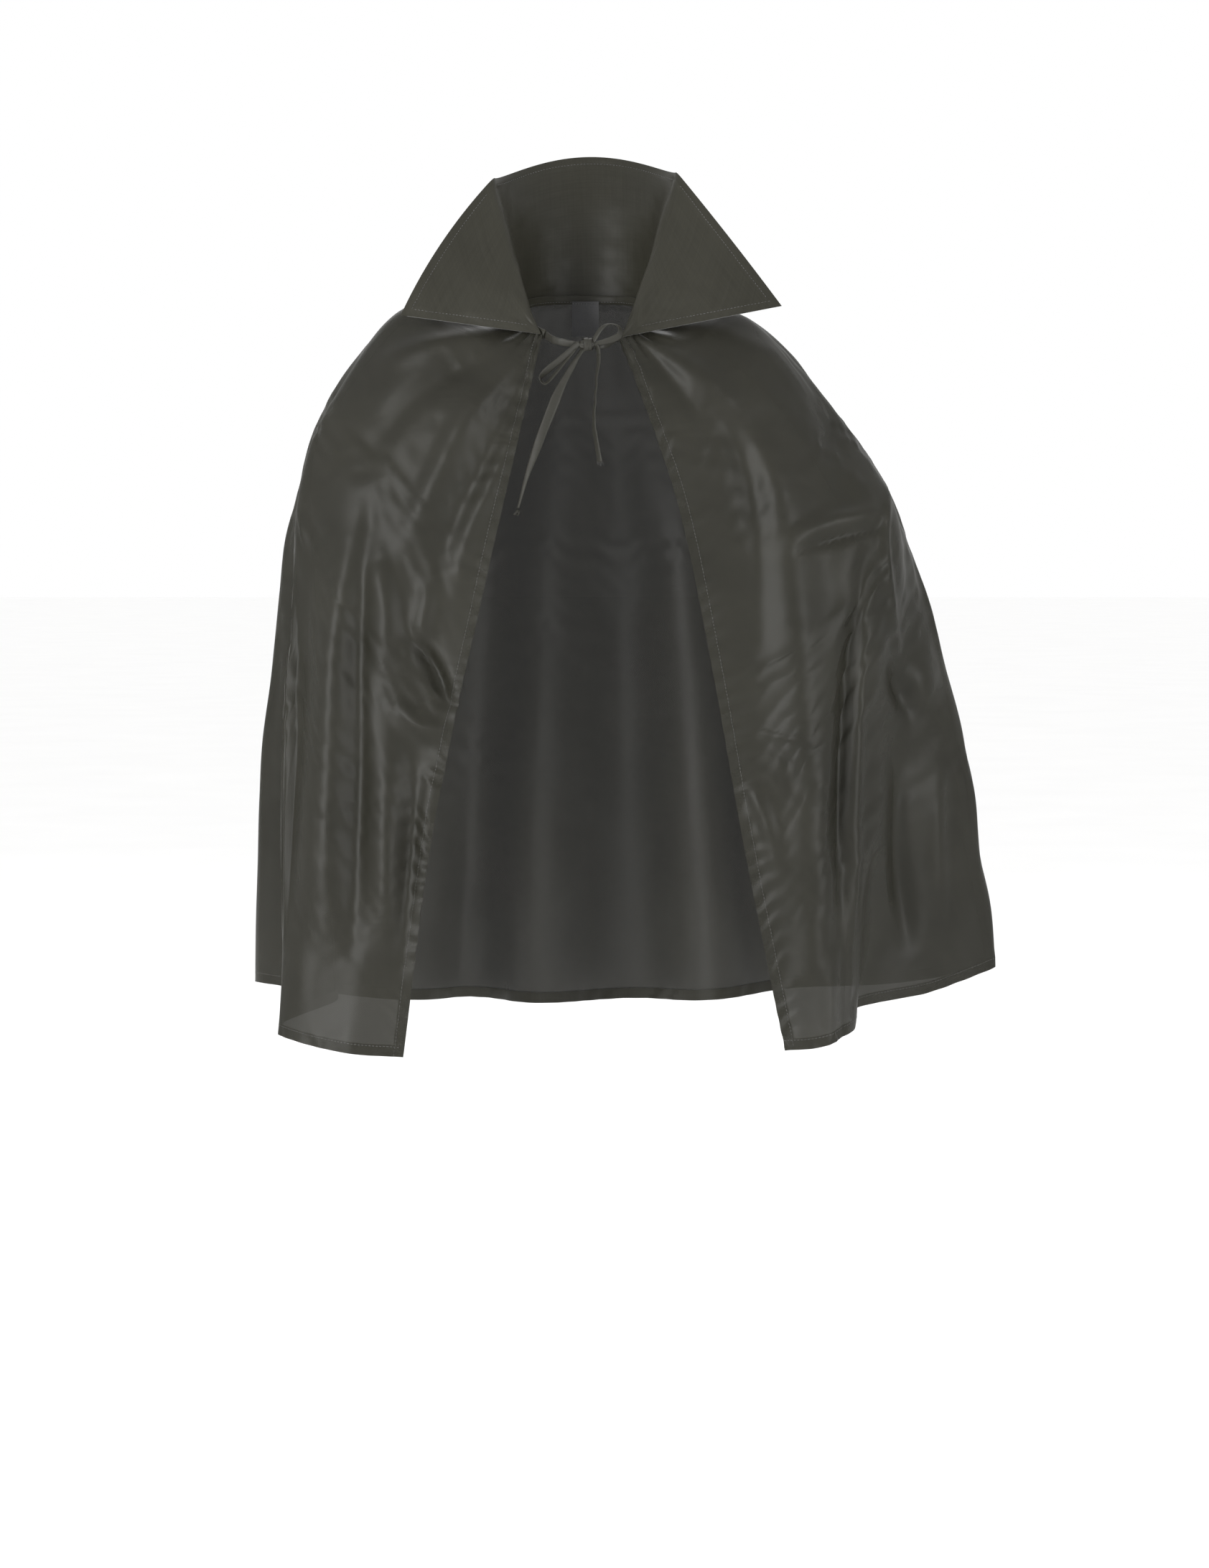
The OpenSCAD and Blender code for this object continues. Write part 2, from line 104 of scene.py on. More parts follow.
# The hinge line of a free front runs from the third to the fifth point of its fold's guide
LEFT_AXIS = np.array(GUIDES[LEFT_FOLD][1][2::2]) * MM
RIGHT_AXIS = np.array(GUIDES[RIGHT_FOLD][1][2::2]) * MM
LEFT_START_Z, RIGHT_START_Z, FRONT_END_Z = -0.23, -0.24, -0.40    # heights on the fronts' hinge lines

# Routes of the two tie tails, as in the CAD part
LEFT_TAIL = [
    (-0.005, -0.070, -0.033), (-0.008, -0.071, -0.038), (-0.012, -0.072, -0.045),
    (-0.016, -0.073, -0.052), (-0.020, -0.074, -0.060), (-0.024, -0.075, -0.069),
    (-0.028, -0.076, -0.079), (-0.032, -0.077, -0.089), (-0.036, -0.078, -0.099),
    (-0.040, -0.079, -0.110), (-0.044, -0.080, -0.121), (-0.048, -0.081, -0.132),
    (-0.051, -0.082, -0.142), (-0.054, -0.083, -0.153), (-0.057, -0.084, -0.164),
]
RIGHT_TAIL = [
    (0.012, -0.070, -0.033), (0.012, -0.071, -0.039), (0.011, -0.072, -0.046),
    (0.010, -0.073, -0.053), (0.010, -0.073, -0.060), (0.009, -0.074, -0.067),
    (0.009, -0.075, -0.074), (0.008, -0.075, -0.081), (0.008, -0.076, -0.088),
    (0.008, -0.076, -0.095), (0.009, -0.077, -0.101), (0.010, -0.077, -0.107),
    (0.011, -0.078, -0.113), (0.012, -0.078, -0.119), (0.013, -0.079, -0.125),
]

# Where the tails leave the bow, above the first point of each route
LEFT_ROOT = [(0.001, -0.069, -0.027), (-0.003, -0.0695, -0.030), (-0.0055, -0.0701, -0.0342)]
RIGHT_ROOT = [(0.010, -0.068, -0.025), (0.0116, -0.0692, -0.029), (0.012, -0.0700, -0.0342)]


# ---------- camera ----------
LENS = 103.4
CAMERA_PLACE = (0.017, -3.066, -0.179)
CAMERA_DIP = 4.255      # degrees below the horizon


def add_camera():
    data = bpy.data.cameras.new("camera")
    data.sensor_fit = "HORIZONTAL"
    data.sensor_width = 36
    data.lens = LENS
    data.clip_end = 50
    cam = bpy.data.objects.new("camera", data)
    cam.location = CAMERA_PLACE
    cam.rotation_euler = (math.radians(90 - CAMERA_DIP), 0, 0)
    bpy.context.scene.collection.objects.link(cam)
    bpy.context.scene.camera = cam


add_camera()


# ---------- curves and grids ----------
def unit(v):
    return v / np.maximum(np.linalg.norm(v, axis=-1, keepdims=True), 1e-9)


def spline(points, t):
    """Points at t, counted in points, on a smooth curve through points (first axis)."""
    p = np.asarray(points, float)
    n = len(p)
    ext = np.concatenate([2 * p[:1] - p[1:2], p, 2 * p[-1:] - p[-2:-1]])
    i = np.clip(np.floor(t).astype(int), 0, n - 2)
    f = (t - i).reshape((-1,) + (1,) * (p.ndim - 1))
    a, b, c, d = ext[i], ext[i + 1], ext[i + 2], ext[i + 3]
    return 0.5 * (2 * b + (c - a) * f + (2 * a - 5 * b + 4 * c - d) * f**2
                  + (3 * b - a - 3 * c + d) * f**3)


def neck_at(angle, out=0.0, up=0.0):
    """A point on the neckline; the angle runs from the front centre over the left side."""
    a = np.radians(angle)
    x = -(NECK_HALF_W + out) * np.sin(a)
    y = -(NECK_HALF_D + out) * np.cos(a)
    return np.stack([x, y, NECK_TILT * y + NECK_SADDLE * np.sin(a) ** 2 + up], -1)


def grid_normals(p):
    along = np.gradient(p, axis=0)
    across = np.gradient(p, axis=1)
    return unit(np.cross(across, along))


def arc(p, axis):
    """Length along each grid line from its start."""
    step = np.linalg.norm(np.diff(p, axis=axis), axis=-1)
    start = np.zeros_like(np.take(step, [0], axis=axis))
    return np.concatenate([start, np.cumsum(step, axis=axis)], axis=axis)


def smooth_step(x):
    x = np.clip(x, 0, 1)
    return x * x * (3 - 2 * x)


def bump(x, centre, width):
    return np.exp(-(((x - centre) / width) ** 2))


def strip(p, n, side, distances):
    """Rows of points and normals at distances in from one side of a grid."""
    both = np.concatenate([p, n], -1)
    lines = {"top": both, "bottom": both[::-1, ::-1], "first": both.swapaxes(0, 1)[:, ::-1],
             "last": both[:, ::-1].swapaxes(0, 1)}[side]
    length = arc(lines[..., :3], 0)
    cols = np.arange(lines.shape[1])
    rows = []
    for distance in distances:
        hit = np.clip(np.argmax(length >= distance, axis=0), 1, len(lines) - 1)
        low, high = length[hit - 1, cols], length[hit, cols]
        f = ((distance - low) / np.maximum(high - low, 1e-9))[:, None]
        rows.append(lines[hit - 1, cols] * (1 - f) + lines[hit, cols] * f)
    rows = np.array(rows)
    return rows[..., :3], unit(rows[..., 3:])


# ---------- meshes ----------
def new_object(name, verts, faces, material, normals=None, uv=None):
    mesh = bpy.data.meshes.new(name)
    mesh.from_pydata(np.asarray(verts).tolist(), [], [tuple(int(i) for i in f) for f in faces])
    mesh.update()
    mesh.polygons.foreach_set("use_smooth", [True] * len(mesh.polygons))
    if uv is not None:
        layer = mesh.uv_layers.new(name="cut")
        loops = np.zeros(len(mesh.loops), int)
        mesh.loops.foreach_get("vertex_index", loops)
        layer.data.foreach_set("uv", np.asarray(uv)[loops].astype(np.float32).ravel())
    if normals is not None:
        mesh.normals_split_custom_set_from_vertices(np.asarray(normals).tolist())
    mesh.materials.append(material)
    obj = bpy.data.objects.new(name, mesh)
    bpy.context.scene.collection.objects.link(obj)
    return obj


def shell(name, p, n, inner, outer, material, uv=None):
    """A closed sheet between two offsets of a grid."""
    rows, cols = p.shape[:2]
    count = rows * cols
    inner = np.broadcast_to(inner, (rows, cols))[..., None]
    outer = np.broadcast_to(outer, (rows, cols))[..., None]
    verts = np.concatenate([(p + n * inner).reshape(-1, 3), (p + n * outer).reshape(-1, 3)])
    index = np.arange(count).reshape(rows, cols)
    a, b = index[:-1, :-1].ravel(), index[:-1, 1:].ravel()
    c, d = index[1:, 1:].ravel(), index[1:, :-1].ravel()
    low = np.stack([a, d, c, b], 1)
    high = np.stack([a, b, c, d], 1) + count
    ring = np.concatenate([index[0, :-1], index[:-1, -1], index[-1, :0:-1], index[:0:-1, 0]])
    after = np.roll(ring, -1)
    rim = np.stack([ring, after, after + count, ring + count], 1)
    faces = np.concatenate([low, high, rim])
    both = None if uv is None else np.concatenate([uv.reshape(-1, 2)] * 2)
    flat_n = n.reshape(-1, 3)
    return new_object(name, verts, faces, material, np.concatenate([-flat_n, flat_n]), both)


def tube(name, line, side, widths, heights, material, sides=12):
    """A closed flat tube: side is the direction of its width at each point of the line."""
    line = np.asarray(line, float)
    ahead = unit(np.gradient(line, axis=0))
    side = unit(side - ahead * np.sum(side * ahead, -1, keepdims=True))
    face = np.cross(ahead, side)
    turn = np.linspace(0, 2 * np.pi, sides, endpoint=False)
    co, si = np.cos(turn), np.sin(turn)
    # a flattened round section with full edges
    across = np.sign(co) * np.abs(co) ** 0.8
    up = np.sign(si) * np.abs(si) ** 0.8
    w = np.broadcast_to(widths, len(line))[:, None, None] / 2
    h = np.broadcast_to(heights, len(line))[:, None, None] / 2
    rings = (line[:, None] + side[:, None] * across[None, :, None] * w
             + face[:, None] * up[None, :, None] * h)
    n = len(line)
    verts = np.concatenate([rings.reshape(-1, 3), line[:1], line[-1:]])
    faces = []
    for i in range(n - 1):
        for k in range(sides):
            a, b = i * sides + k, i * sides + (k + 1) % sides
            faces.append((a, a + sides, b + sides, b))
    for k in range(sides):
        faces.append((n * sides, k, (k + 1) % sides))
        faces.append((n * sides + 1, (n - 1) * sides + (k + 1) % sides, (n - 1) * sides + k))
    length = arc(line[None], 1)[0]
    around = np.linspace(0, 1, sides, endpoint=False)
    uv = np.stack(np.broadcast_arrays(around[None] * 0.014, length[:, None]), -1).reshape(-1, 2)
    uv = np.concatenate([uv, uv[:1], uv[-1:]])
    return new_object(name, verts, faces, material, None, uv)


def stitches(name, runs, pitch, length, width, material):
    """Rows of single stitches along runs of (points, normals), raised on the face."""
    verts, faces = [], []
    for line, normal in runs:
        s = arc(line[None], 1)[0]
        count = max(int((s[-1] - length) / pitch), 1)
        starts = (np.arange(count) + 0.5) * pitch - length / 2
        for start in starts:
            at = [np.array([np.interp(start + length * f, s, line[:, k]) for k in range(3)])
                  for f in (0, 0.3, 0.7, 1)]
            n = unit(np.array([np.interp(start + length / 2, s, normal[:, k]) for k in range(3)]))
            side = unit(np.cross(unit(at[3] - at[0]), n))
            base = len(verts)
            verts.append(at[0])
            for q in (at[1], at[2]):
                verts += [q + side * width / 2, q + n * width * 0.7, q - side * width / 2,
                          q - n * width * 0.3]
            verts.append(at[3])
            for k in range(4):
                j = (k + 1) % 4
                faces.append((base, base + 1 + j, base + 1 + k))
                faces.append((base + 1 + k, base + 1 + j, base + 5 + j, base + 5 + k))
                faces.append((base + 9, base + 5 + k, base + 5 + j))
    return new_object(name, verts, faces, material)


# ---------- body cloth ----------
def fine_noise(shape, cells, seed):
    """Smooth noise over a grid, about -1 to 1, from a seeded lattice."""
    lattice = np.random.default_rng(seed).uniform(-1, 1, (cells[0] + 1, cells[1] + 1))
    rows = spline(lattice, np.linspace(0, cells[0], shape[0]))
    return spline(rows.T, np.linspace(0, cells[1], shape[1])).T


def span_steps(counts):
    """Positions along spans that are cut into counts of equal cells."""
    steps = [i + np.arange(n) / n for i, n in enumerate(counts)]
    return np.concatenate(steps + [[len(counts)]])


def guide_surface(rows, cols):
    lines = [np.vstack([neck_at(angle, 0.6 * MM, 0.0), np.array(points) * MM])
             for angle, points in GUIDES]
    levels = spline(np.array(lines).swapaxes(0, 1), rows)
    return spline(levels.swapaxes(0, 1), cols).swapaxes(0, 1)


# Folds of the two fronts, in mm: half-width, height out of the face, and points (x, z) along it
RIGHT_FRONT_FOLDS = [
    (26, 15, [(165, -125), (180, -235), (185, -320), (195, -435), (200, -550)]),    # broad ridge
    (11, -14, [(245, -200), (235, -270), (225, -365), (220, -435), (220, -535)]),   # its valley
    (4.5, 5, [(245, -265), (240, -325), (235, -420), (230, -530), (225, -620)]),    # crisp ridge
    (3.5, -5, [(180, -200), (215, -190), (235, -185), (260, -180)]),                # elbow crease
    (9, 7, [(180, -190), (215, -175), (255, -165)]),
    (3.5, 4, [(265, -140), (260, -195), (265, -240), (275, -305)]),
    (8, -8, [(270, -300), (275, -320), (285, -345)]),                               # dimple
    (14, 7, [(290, -290), (295, -315), (295, -340)]),
    (14, -6.5, [(210, -100), (225, -140), (235, -170)]),
    (13, -7, [(115, -75), (140, -125), (150, -195), (155, -280)]),
    (12, 5.5, [(70, -30), (105, -55), (140, -100), (165, -155)]),                   # from the tie
    (8, -3.5, [(55, -30), (90, -75), (115, -125)]),
    (13, 4, [(120, -20), (165, -35), (200, -75)]),
    (2.5, -2.5, [(55, -60), (55, -75)]),
    (3, 2, [(145, -355), (170, -360), (195, -365)]),                                # pressed creases
    (2.5, -1.5, [(170, -370), (175, -405)]),
    (3, 1.5, [(195, -405), (215, -395)]),
    (8, 5.5, [(140, -400), (155, -430), (165, -475)]),
    (13, 7, [(255, -375), (255, -435), (260, -525)]),                               # side flutes
    (9, -7.5, [(275, -395), (275, -470), (285, -545)]),
    (9, 5, [(310, -395), (310, -455), (315, -525)]),
]
LEFT_FRONT_FOLDS = [
    (12, 6.5, [(-55, -35), (-100, -85), (-130, -145), (-155, -195)]),               # from the tie
    (11, -5.5, [(-45, -45), (-75, -100), (-105, -160), (-130, -220)]),
    (9.5, 4, [(-45, -65), (-70, -125), (-100, -185), (-110, -235)]),
    (12, -5.5, [(-70, -30), (-120, -50), (-160, -80), (-190, -130)]),
    (11, 5, [(-75, -20), (-130, -25), (-175, -35)]),
    (7, -10.5, [(-150, -270), (-130, -300), (-115, -335)]),                         # drag fold
    (9, 7.5, [(-160, -335), (-140, -350), (-115, -355)]),
    (12, 7.5, [(-180, -210), (-170, -250), (-170, -300)]),
    (8, 4.5, [(-130, -215), (-140, -265), (-155, -300)]),
    (14, 9, [(-170, -370), (-170, -455), (-170, -535)]),                            # hanging folds
    (9, -7.5, [(-145, -380), (-150, -470), (-155, -560)]),
    (7, 4.5, [(-130, -395), (-135, -470), (-145, -555)]),
    (14, 8.5, [(-200, -195), (-215, -280), (-220, -395), (-225, -530)]),
    (9, -7, [(-185, -160), (-195, -270), (-195, -405), (-200, -545)]),
    (12, -7, [(-240, -195), (-250, -300), (-255, -405), (-260, -525)]),
]


def fold_height(p, width, height, points):
    """The height of one fold: rounded across, and fading to both ends."""
    width, height = width * MM, height * MM
    path = spline(np.array(points) * MM, np.linspace(0, len(points) - 1, 19))
    low, high = path.min(0) - 3 * width, path.max(0) + 3 * width
    flat = p[..., [0, 2]]
    near = np.all((flat > low) & (flat < high), axis=-1)
    at = flat[near][:, None]
    a, d = path[:-1], np.diff(path, axis=0)
    f = np.clip(np.sum((at - a) * d, -1) / np.sum(d * d, -1), 0, 1)
    away = np.linalg.norm(at - a - d * f[..., None], axis=-1)
    nearest = np.argmin(away, -1)
    row = np.arange(len(away))
    along = (nearest + f[row, nearest]) / len(d)
    fade = np.sin(np.pi * np.clip(0.05 + 0.9 * along, 0, 1)) ** 0.7
    out = np.zeros(flat.shape[:2])
    out[near] = height * fade * np.exp(-((away[row, nearest] / width) ** 2))
    return out


def add_folds(p):
    """The drag folds that the arms and the tie pull into the two fronts."""
    n = grid_normals(p)
    facing = smooth_step((-n[..., 1] - 0.05) / 0.35) * (p[..., 1] < 0.01)
    out = sum(fold_height(p, *fold) for fold in RIGHT_FRONT_FOLDS + LEFT_FRONT_FOLDS)
    edge = np.minimum(arc(p, 1), arc(p[:, ::-1], 1)[:, ::-1])
    quiet = smooth_step(arc(p, 0) / 0.02) * (0.35 + 0.65 * smooth_step(edge / 0.02))
    return p + n * (out * facing * quiet)[..., None]


def add_fullness(p):
    """Gathers at the neck, flutes towards the hem and a little slack all over."""
    n = grid_normals(p)
    facing = smooth_step((-n[..., 1] - 0.1) / 0.4)
    turn = np.linspace(0, 1, p.shape[1])[None]
    down = arc(p, 0)
    length = down[-1:]
    gathers = 0.0012 * np.sin(turn * 2 * np.pi * 34 + 2 * np.sin(turn * 19)) * np.exp(-down / 0.035)
    flutes = 0.006 * np.sin(turn * 2 * np.pi * 11.5 + 1.1) * smooth_step(down / length) ** 1.3
    flutes = flutes + 0.004 * fine_noise(p.shape[:2], (3, 26), 11) * smooth_step(down / length / 0.5)
    slack = 0.0018 * fine_noise(p.shape[:2], (14, 40), 5)
    quiet = smooth_step(down / 0.02)
    return p + n * (gathers + flutes * (1 - facing) + slack * quiet)[..., None]


SETTLE_FRAMES = 24
SETTLE_CAP = 12 * MM


def cloth_work(p):
    """A single-sided copy of the surface, with how firmly each point is held."""
    rows, cols = p.shape[:2]
    index = np.arange(rows * cols).reshape(rows, cols)
    quads = np.stack([index[:-1, :-1], index[:-1, 1:], index[1:, 1:], index[1:, :-1]], -1)
    mesh = bpy.data.meshes.new("cloth_work")
    mesh.from_pydata(p.reshape(-1, 3).tolist(), [], quads.reshape(-1, 4).tolist())
    work = bpy.data.objects.new("cloth_work", mesh)
    bpy.context.scene.collection.objects.link(work)
    group = work.vertex_groups.new(name="held")
    edge = np.minimum(np.arange(cols), np.arange(cols)[::-1])[None] / cols
    hold = 0.42 + 0.25 * np.exp(-edge / 0.02) + 0 * index
    hold[0] = 1
    for k, weight in enumerate(hold.ravel()):
        group.add([k], float(weight), "REPLACE")
    return work


def add_cloth_modifier(work):
    cloth = work.modifiers.new("Cloth", "CLOTH")
    cloth.settings.quality = 5
    cloth.settings.mass = 0.12
    cloth.settings.tension_stiffness = 12
    cloth.settings.compression_stiffness = 12
    cloth.settings.shear_stiffness = 4
    cloth.settings.bending_stiffness = 2.5
    cloth.settings.vertex_group_mass = "held"
    cloth.settings.pin_stiffness = 1
    cloth.settings.shrink_min = -0.004
    cloth.settings.shrink_max = -0.004
    cloth.collision_settings.use_collision = False
    cloth.point_cache.frame_start = 1
    cloth.point_cache.frame_end = SETTLE_FRAMES


def simulate(p):
    """Lets the cloth settle under its weight, held softly to the wearer's shape."""
    work = cloth_work(p)
    add_cloth_modifier(work)
    scene = bpy.context.scene
    for frame_number in range(1, SETTLE_FRAMES + 1):
        scene.frame_set(frame_number)
    shape = work.evaluated_get(bpy.context.evaluated_depsgraph_get()).to_mesh()
    settled = np.zeros(p.size)
    shape.vertices.foreach_get("co", settled)
    scene.frame_set(1)
    bpy.data.objects.remove(work)
    move = settled.reshape(p.shape) - p
    size = np.linalg.norm(move, axis=-1, keepdims=True)
    return p + move * np.minimum(1, SETTLE_CAP / np.maximum(size, 1e-9))


def snap_to_axis(p, col, axis, start_z):
    """Brings a fold column onto its hinge line below start_z, easing the columns beside it."""
    a, b = axis
    d = (b - a) / np.linalg.norm(b - a)
    line = p[:, col]
    on_axis = a + d * ((line - a) @ d)[:, None]
    weight = smooth_step((start_z + 0.03 - line[:, 2]) / 0.03)[:, None]
    move = (on_axis - line) * weight
    beside = np.exp(-(((np.arange(p.shape[1]) - col) / (0.45 * FINE_COLS)) ** 2))
    return p + move[:, None] * beside[None, :, None]


def pucker(p):
    """Small puckers that the hem stitching pulls into the front and bottom edges."""
    n = grid_normals(p)
    across = arc(p, 1)
    down = arc(p, 0)
    left, right = across, across[:, -1:] - across
    bottom = down[-1:] - down
    noise = fine_noise(p.shape[:2], (30, 60), 3)
    waves_down = np.sin(2 * np.pi * down / 0.017 + 2.6 * noise)
    waves_across = np.sin(2 * np.pi * across / 0.024 + 2.6 * noise)
    side_strength = 0.0011 * (0.65 + 0.5 * noise)
    reach = np.exp(-((left / 0.017) ** 2)) + np.exp(-((right / 0.017) ** 2))
    low_reach = np.exp(-((bottom / 0.016) ** 2))
    return p + n * (side_strength * (waves_down * reach + 0.6 * waves_across * low_reach))[..., None]


def cape_surface():
    rows, cols = span_steps(SIM_ROWS), np.linspace(0, SPANS, SPANS * SIM_COLS + 1)
    p = add_fullness(guide_surface(rows, cols))
    p = simulate(p)
    fine_rows = np.interp(span_steps(FINE_ROWS), rows, np.arange(len(rows)))
    p = spline(p, fine_rows)
    p = spline(p.swapaxes(0, 1), np.linspace(0, len(cols) - 1, SPANS * FINE_COLS + 1)).swapaxes(0, 1)
    p = add_folds(p)
    p = snap_to_axis(p, LEFT_FOLD * FINE_COLS, LEFT_AXIS, LEFT_START_Z)
    p = snap_to_axis(p, RIGHT_FOLD * FINE_COLS, RIGHT_AXIS, RIGHT_START_Z)
    return pucker(p)


# ---------- materials ----------
def node_setup(name):
    material = bpy.data.materials.new(name)
    material.use_nodes = True
    nodes, links = material.node_tree.nodes, material.node_tree.links
    return material, nodes, links, nodes["Principled BSDF"]


def stretched_noise(nodes, links, source, scale, detail=3):
    """Noise over the cut coordinates, in cycles to a metre each way."""
    mapping = nodes.new("ShaderNodeMapping")
    mapping.inputs["Scale"].default_value = (scale[0], scale[1], 1)
    links.new(source, mapping.inputs["Vector"])
    noise = nodes.new("ShaderNodeTexNoise")
    noise.inputs["Scale"].default_value = 1
    noise.inputs["Detail"].default_value = detail
    links.new(mapping.outputs["Vector"], noise.inputs["Vector"])
    return noise.outputs["Fac"]


def weave(nodes, links, source, pitch):
    """Over-and-under threads of a plain weave, as a height."""
    waves = []
    for direction in ("X", "Y"):
        wave = nodes.new("ShaderNodeTexWave")
        wave.bands_direction = direction
        wave.inputs["Scale"].default_value = math.pi / (10 * pitch)
        wave.inputs["Distortion"].default_value = 0.6
        wave.inputs["Detail Scale"].default_value = 0.4
        links.new(source, wave.inputs["Vector"])
        waves.append(wave.outputs["Fac"])
    return math_node(nodes, links, "MULTIPLY", *waves)


def math_node(nodes, links, operation, a, b, clamp=False):
    node = nodes.new("ShaderNodeMath")
    node.operation = operation
    node.use_clamp = clamp
    for socket, value in zip(node.inputs, (a, b)):
        if isinstance(value, (int, float)):
            socket.default_value = value
        else:
            links.new(value, socket)
    return node.outputs[0]


def ramp(nodes, links, fac, stops):
    node = nodes.new("ShaderNodeValToRGB")
    first, last = node.color_ramp.elements
    for element, (position, colour) in zip((first, last), (stops[0], stops[-1])):
        element.position = position
        element.color = (*colour, 1)
    for position, colour in stops[1:-1]:
        node.color_ramp.elements.new(position).color = (*colour, 1)
    links.new(fac, node.inputs["Fac"])
    return node.outputs["Color"]


def cloth_relief(nodes, links, source, threads, creases):
    """A fine weave over soft creases, as a normal."""
    fine = nodes.new("ShaderNodeBump")
    fine.inputs["Strength"].default_value = 0.12
    fine.inputs["Distance"].default_value = 0.00004
    relief = math_node(nodes, links, "MULTIPLY", weave(nodes, links, source, THREAD_PITCH), 0.25)
    links.new(math_node(nodes, links, "ADD", relief, threads), fine.inputs["Height"])
    soft = nodes.new("ShaderNodeBump")
    soft.inputs["Strength"].default_value = creases
    soft.inputs["Distance"].default_value = 0.0012
    links.new(stretched_noise(nodes, links, source, (38, 30), 5), soft.inputs["Height"])
    links.new(fine.outputs["Normal"], soft.inputs["Normal"])
    return soft.outputs["Normal"]


def cloth_material(name, alpha, dark, light, creases=0.5):
    """Thin satin-faced lining taffeta: fine weave, slubs and soft sheen."""
    material, nodes, links, shader = node_setup(name)
    cut = nodes.new("ShaderNodeUVMap")
    cut.uv_map = "cut"
    source = cut.outputs["UV"]
    warp = stretched_noise(nodes, links, source, (560, 16))
    weft = stretched_noise(nodes, links, source, (16, 640))
    cloud = stretched_noise(nodes, links, source, (9, 7), 4)
    threads = math_node(nodes, links, "MULTIPLY", math_node(nodes, links, "ADD", warp, weft), 0.5)
    tone = math_node(nodes, links, "ADD", math_node(nodes, links, "MULTIPLY", threads, 0.45),
                     math_node(nodes, links, "MULTIPLY", cloud, 0.55))
    links.new(ramp(nodes, links, tone, [(0.36, dark), (0.64, light)]), shader.inputs["Base Color"])
    rough = nodes.new("ShaderNodeMapRange")
    rough.inputs["To Min"].default_value = 0.40
    rough.inputs["To Max"].default_value = 0.50
    links.new(threads, rough.inputs["Value"])
    links.new(rough.outputs[0], shader.inputs["Roughness"])
    links.new(cloth_relief(nodes, links, source, threads, creases), shader.inputs["Normal"])
    shader.inputs["Specular IOR Level"].default_value = 0.17
    shader.inputs["Sheen Weight"].default_value = 0.02
    shader.inputs["Sheen Roughness"].default_value = 0.35
    shader.inputs["Sheen Tint"].default_value = (1, 0.98, 0.92, 1)
    shader.inputs["Alpha"].default_value = alpha
    return material


def object_noise(nodes, links, scale, detail=3):
    place = nodes.new("ShaderNodeTexCoord")
    noise = nodes.new("ShaderNodeTexNoise")
    noise.inputs["Scale"].default_value = scale
    noise.inputs["Detail"].default_value = detail
    links.new(place.outputs["Object"], noise.inputs["Vector"])
    return noise.outputs["Fac"]


def plain_material(name, dark, light, scale, roughness, sheen, depth=0.0001):
    """Thread, interfacing, label or studio paper: two tones with a fine relief."""
    material, nodes, links, shader = node_setup(name)
    noise = object_noise(nodes, links, scale)
    links.new(ramp(nodes, links, noise, [(0.3, dark), (0.7, light)]), shader.inputs["Base Color"])
    bump_node = nodes.new("ShaderNodeBump")
    bump_node.inputs["Strength"].default_value = 0.4
    bump_node.inputs["Distance"].default_value = depth
    links.new(noise, bump_node.inputs["Height"])
    links.new(bump_node.outputs["Normal"], shader.inputs["Normal"])
    shader.inputs["Roughness"].default_value = roughness
    shader.inputs["Sheen Weight"].default_value = sheen
    return material


BODY_CLOTH = cloth_material("body_cloth", 0.85, (0.0135, 0.0130, 0.0094), (0.0225, 0.0217, 0.0164))
DOUBLE_CLOTH = cloth_material("double_cloth", 1.0, (0.0155, 0.0148, 0.0106), (0.0245, 0.0236, 0.0178))
TIE_CLOTH = cloth_material("tie_cloth", 1.0, (0.0180, 0.0175, 0.0140), (0.0300, 0.0290, 0.0240), creases=0.8)
THREAD = plain_material("sewing_thread", (0.010, 0.010, 0.009), (0.024, 0.023, 0.020), 2500, 0.6, 0.3)
CORE = plain_material("interfacing", (0.20, 0.20, 0.20), (0.28, 0.28, 0.27), 900, 0.9, 0.2)
# The label is a dark satin label. Its colour is made darker still with painted shade, the shade it would
# have inside the neck opening.
LABEL_DARK_AND_SHADED = plain_material("label_satin_painted_shade", (0.009, 0.009, 0.010), (0.017, 0.017, 0.018), 1400, 0.5, 0.02)
PAPER = plain_material("studio_paper", (0.965, 0.965, 0.962), (0.985, 0.985, 0.982), 3, 0.9, 0.0, 0.00001)


# ---------- tie tails ----------
def turned_side(line, angles, first=(1, 0, 0)):
    """The width direction of a flat tape that turns about its line by angles."""
    ahead = unit(np.gradient(line, axis=0))
    start = unit(np.array(first) - ahead * (ahead @ np.array(first))[:, None])
    other = np.cross(ahead, start)
    return start * np.cos(angles)[:, None] + other * np.sin(angles)[:, None]


def fine_line(points, steps):
    return spline(np.array(points), np.linspace(0, len(points) - 1, steps))


def tape_along(name, line, angles, widths, heights, first=(1, 0, 0)):
    side = turned_side(line, angles, first)
    return tube(name, line, side, widths, heights, TIE_CLOTH)


def add_tail(name, route, twist, taper):
    line = fine_line(route, 90)
    t = np.linspace(0, 1, len(line))
    angles = np.interp(t, np.linspace(0, 1, len(twist)), np.radians(twist))
    widths = TIE_W * np.interp(t, np.linspace(0, 1, len(taper)), taper) * (1 + 0.04 * np.sin(t * 21))
    tail = tape_along(name + "_tape", line, angles, widths, TIE_T * (0.9 + 0.25 * np.sin(t * 34) ** 2))
    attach(tail, name)
    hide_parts(name)
    return tail


